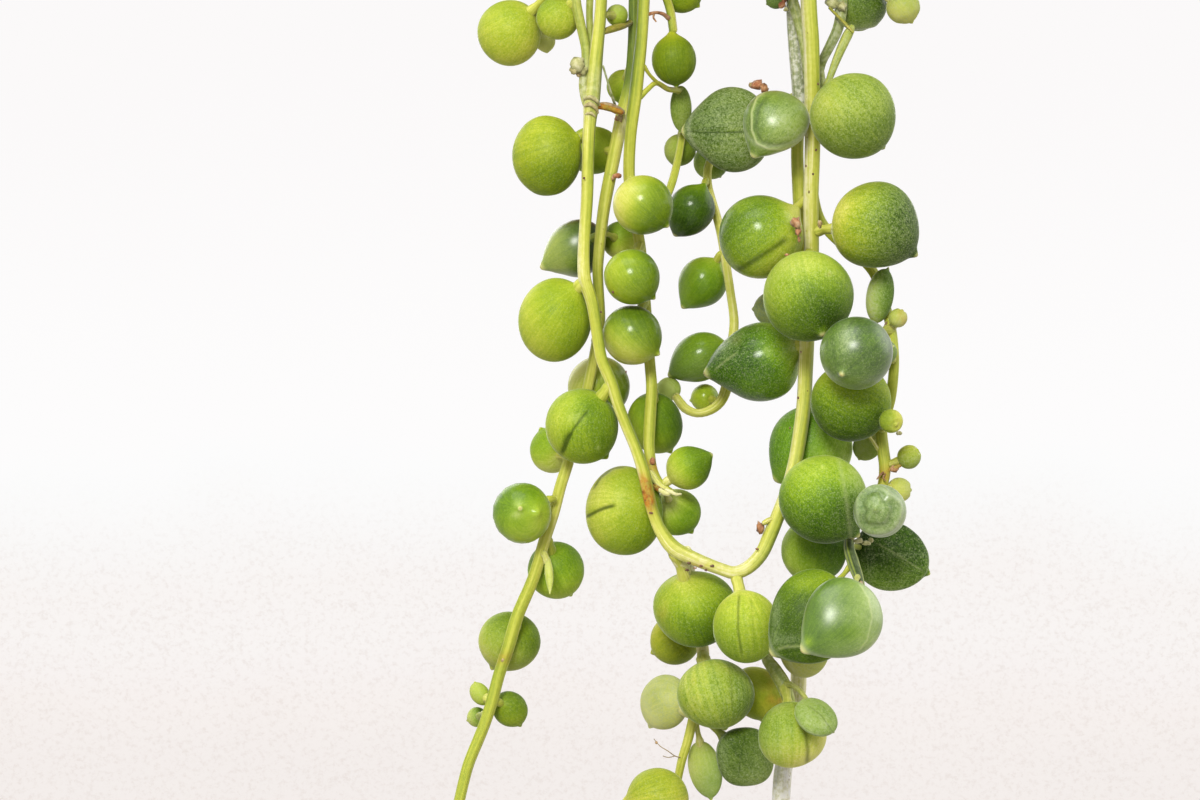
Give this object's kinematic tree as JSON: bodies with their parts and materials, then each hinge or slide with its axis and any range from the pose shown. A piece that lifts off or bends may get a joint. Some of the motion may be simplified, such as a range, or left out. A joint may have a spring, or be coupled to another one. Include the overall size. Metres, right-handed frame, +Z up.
{
  "type": "hanging potted string of pearls plant",
  "caption": "Trailing string-of-pearls plant in a small plastic hanging pot: long thin stems with round succulent leaves fall over the rim; wires and an open hook hold the pot.",
  "frame": {"origin": "the point inside the top of the hook that bears on what the pot hangs from, on the pot's axis", "axes": "+Z up along the pot's axis; the long stems hang at the front, towards -Y; the hook's mouth opens towards -X"},
  "size_m": [0.1533, 0.1526, 0.4348],
  "materials": {
    "pot": "matte moulded terracotta-coloured plastic",
    "soil": "dark loose potting mix of bark and peat",
    "hook": "galvanised wire",
    "wire": "galvanised wire",
    "stem": null,
    "pearl": null
  },
  "bodies": {
    "root": {"pot": "pot", "potting_soil": "soil", "hanger_hook": "hook", "hanger_wire_back": "wire", "hanger_wire_front_left": "wire", "hanger_wire_front_right": "wire", "stem_front_loop": "stem", "stem_front_left": "stem", "stem_front_middle": "stem", "stem_front_right_old": "stem", "stem_front_right_young": "stem", "stem_rim_01": "stem", "stem_rim_02": "stem", "stem_rim_03": "stem", "stem_rim_04": "stem", "stem_rim_05": "stem", "stem_rim_06": "stem", "stem_rim_07": "stem", "stem_rim_08": "stem", "stem_rim_09": "stem", "stem_rim_10": "stem", "stem_rim_11": "stem", "stem_rim_12": "stem", "stem_crown_1": "stem", "stem_crown_2": "stem", "stem_crown_3": "stem", "stem_crown_4": "stem", "stem_crown_5": "stem", "pearl_01": "pearl", "pearl_02": "pearl", "pearl_03": "pearl", "pearl_04": "pearl", "pearl_05": "pearl", "pearl_06": "pearl", "pearl_07": "pearl", "pearl_08": "pearl", "pearl_09": "pearl", "pearl_10": "pearl", "pearl_11": "pearl", "pearl_12": "pearl", "pearl_13": "pearl", "pearl_14": "pearl", "pearl_15": "pearl", "pearl_16": "pearl", "pearl_17": "pearl", "pearl_18": "pearl", "pearl_19": "pearl", "pearl_20": "pearl", "pearl_21": "pearl", "pearl_22": "pearl", "pearl_23": "pearl", "pearl_24": "pearl", "pearl_25": "pearl", "pearl_26": "pearl", "pearl_27": "pearl", "pearl_28": "pearl", "pearl_29": "pearl", "pearl_30": "pearl", "pearl_31": "pearl"}
  },
  "joints": []
}
